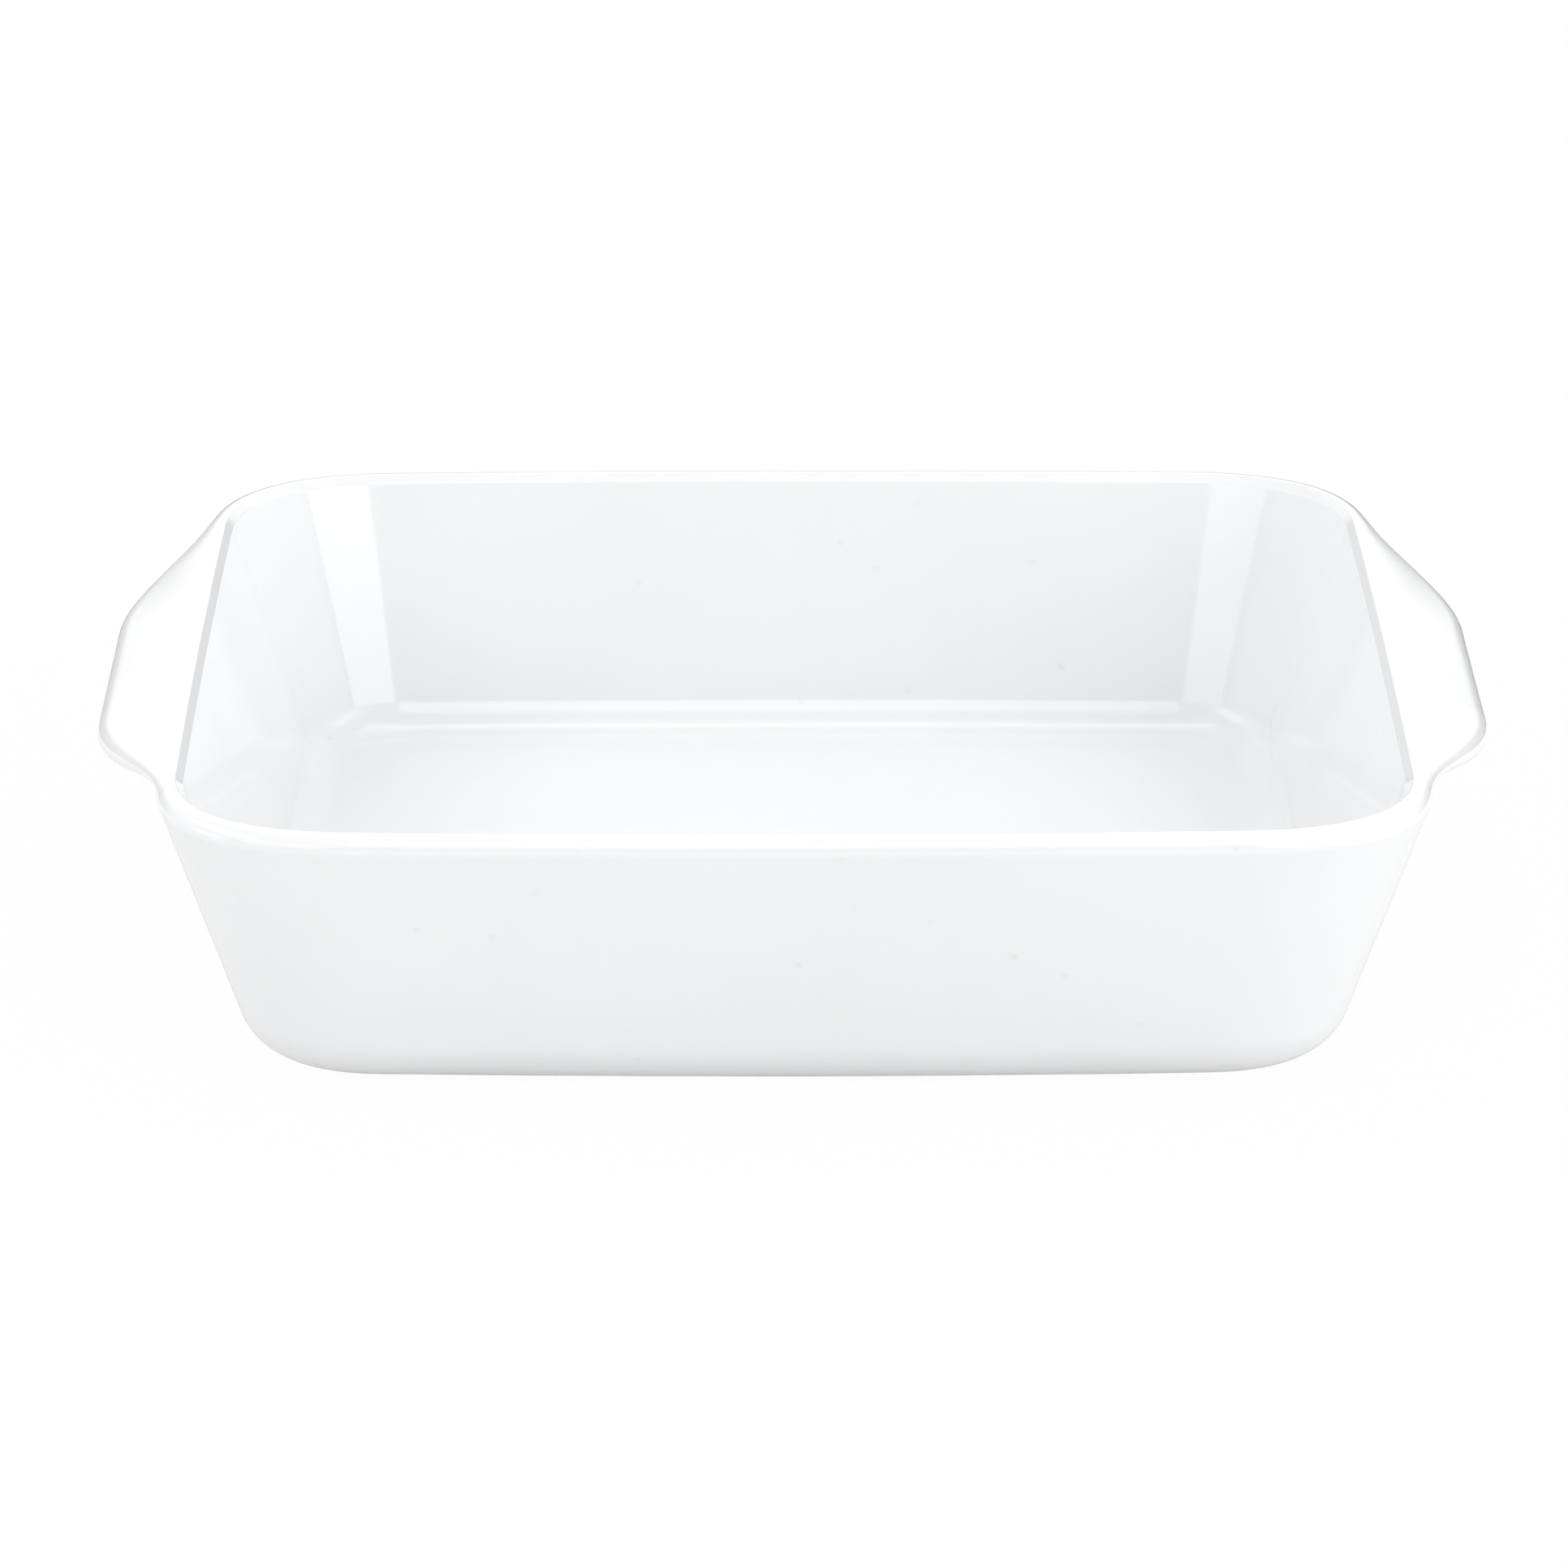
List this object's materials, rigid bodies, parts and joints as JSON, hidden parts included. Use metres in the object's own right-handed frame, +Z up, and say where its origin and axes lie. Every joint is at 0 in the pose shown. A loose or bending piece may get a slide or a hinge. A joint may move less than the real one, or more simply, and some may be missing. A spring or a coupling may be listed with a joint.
{
  "type": "square baking dish",
  "caption": "Square baking dish in white glazed ceramic with slanted walls, rounded corners, a round lip, drooping side handles and an unglazed foot ring.",
  "frame": {"origin": "on the table under the middle of the dish", "axes": "+X from the left handle to the right handle, +Y from front to back, +Z up"},
  "size_m": [0.2572, 0.2328, 0.054],
  "materials": {
    "white_glaze": "gloss",
    "bare_clay": "matte"
  },
  "bodies": {
    "root": {"floor": "white_glaze", "foot_ring": "bare_clay", "front_wall": "white_glaze", "back_wall": "white_glaze", "left_wall": "white_glaze", "right_wall": "white_glaze", "front_left_corner": "white_glaze", "front_right_corner": "white_glaze", "back_left_corner": "white_glaze", "back_right_corner": "white_glaze", "left_handle": "white_glaze", "right_handle": "white_glaze"}
  },
  "joints": []
}
